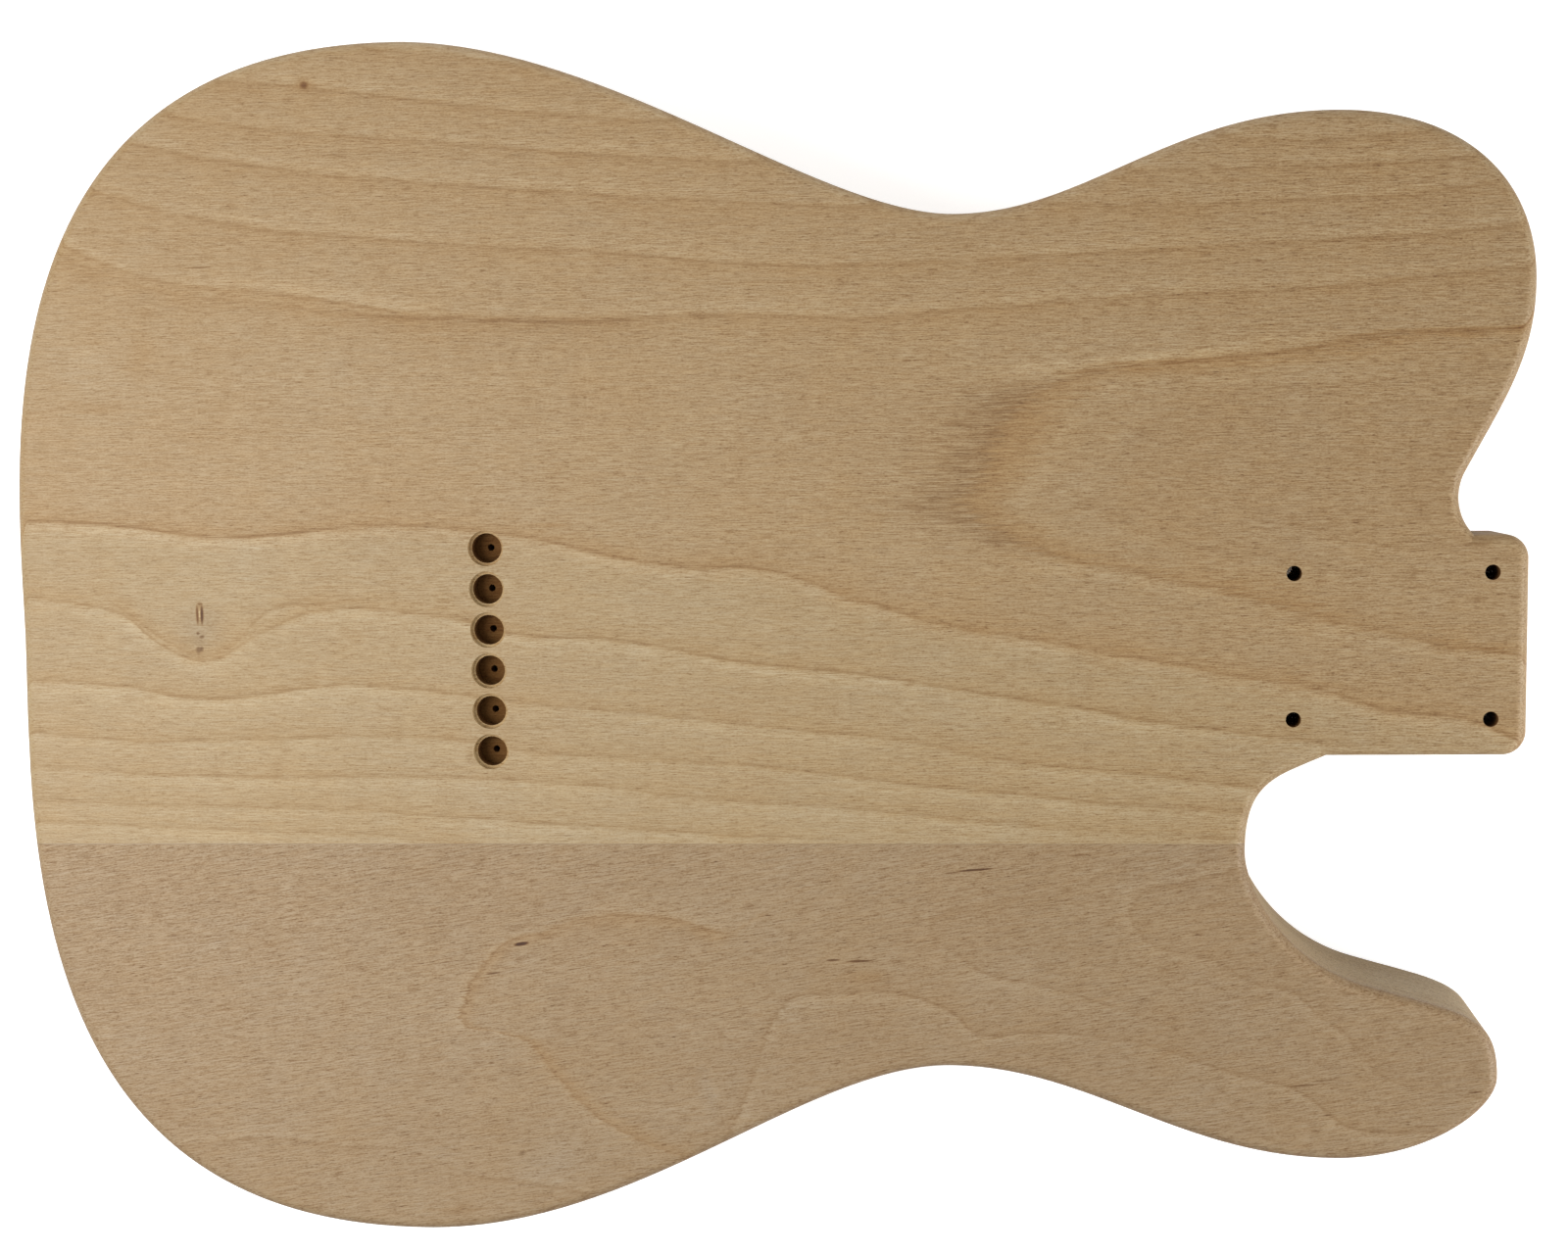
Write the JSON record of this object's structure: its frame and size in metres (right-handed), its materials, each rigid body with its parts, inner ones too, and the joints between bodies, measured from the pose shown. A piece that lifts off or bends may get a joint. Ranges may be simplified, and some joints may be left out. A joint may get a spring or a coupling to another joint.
{
  "type": "electric guitar body",
  "caption": "Unfinished left-handed solid guitar body of two glued boards, with one cutaway, bolt-on neck pocket, pickup and control cavities, jack bore and through-body string holes.",
  "frame": {"origin": "on the front face, where the row of string holes crosses the centreline", "axes": "the body lies face down; +X runs along the centreline from the tail to the neck, +Y to the bass side, +Z out of the back"},
  "size_m": [0.3997, 0.3168, 0.0445],
  "materials": {
    "bass_wood": "bare alder sanded smooth, honey coloured with fine straight fibre, growth lines, one knot and paler sapwood by the glue line",
    "treble_wood": "bare alder sanded smooth, browner and a little pink, fibre rising towards the neck",
    "dried_glue": "thin film of dried wood glue, flush with the boards"
  },
  "bodies": {
    "root": {"bass_board": "bass_wood", "glue_line": "dried_glue", "treble_board": "treble_wood"}
  },
  "joints": []
}
